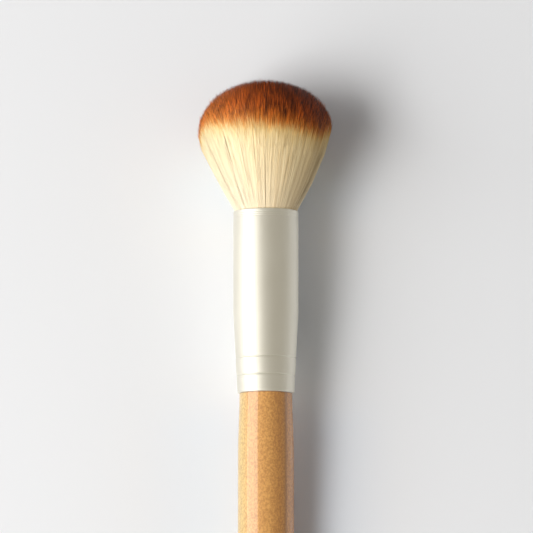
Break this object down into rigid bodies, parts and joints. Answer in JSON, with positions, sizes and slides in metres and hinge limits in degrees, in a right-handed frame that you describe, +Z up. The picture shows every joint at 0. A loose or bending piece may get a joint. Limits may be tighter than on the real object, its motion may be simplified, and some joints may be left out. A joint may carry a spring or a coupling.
{
  "type": "blush brush",
  "caption": "Blush brush lying on its side: domed two-tone tuft of fine filaments set in a crimped satin aluminium ferrule on a turned, lacquered bamboo handle.",
  "frame": {"origin": "on the table under the middle of the brush's length, midway between its tips and its butt", "axes": "+Z up off the table; +Y along the brush from butt to tips, as seen from above; the brush's own axis rises 4.30 degrees from butt to tips in the YZ plane, because the head is wider than the butt"},
  "size_m": [0.0351, 0.1746, 0.0344],
  "materials": {
    "lacquered_bamboo": "glossy clear lacquer",
    "satin_aluminium": "satin pearl",
    "filament": "soft synthetic filament, cream with dyed chestnut tips",
    "thread": "waxed cotton",
    "resin": "cast amber resin",
    "adhesive": "cured adhesive"
  },
  "bodies": {
    "root": {"handle": "lacquered_bamboo", "ferrule": "satin_aluminium", "bristle_tuft": "filament", "root_thread": "thread", "resin_plug": "resin", "tenon_glue": "adhesive"}
  },
  "joints": []
}
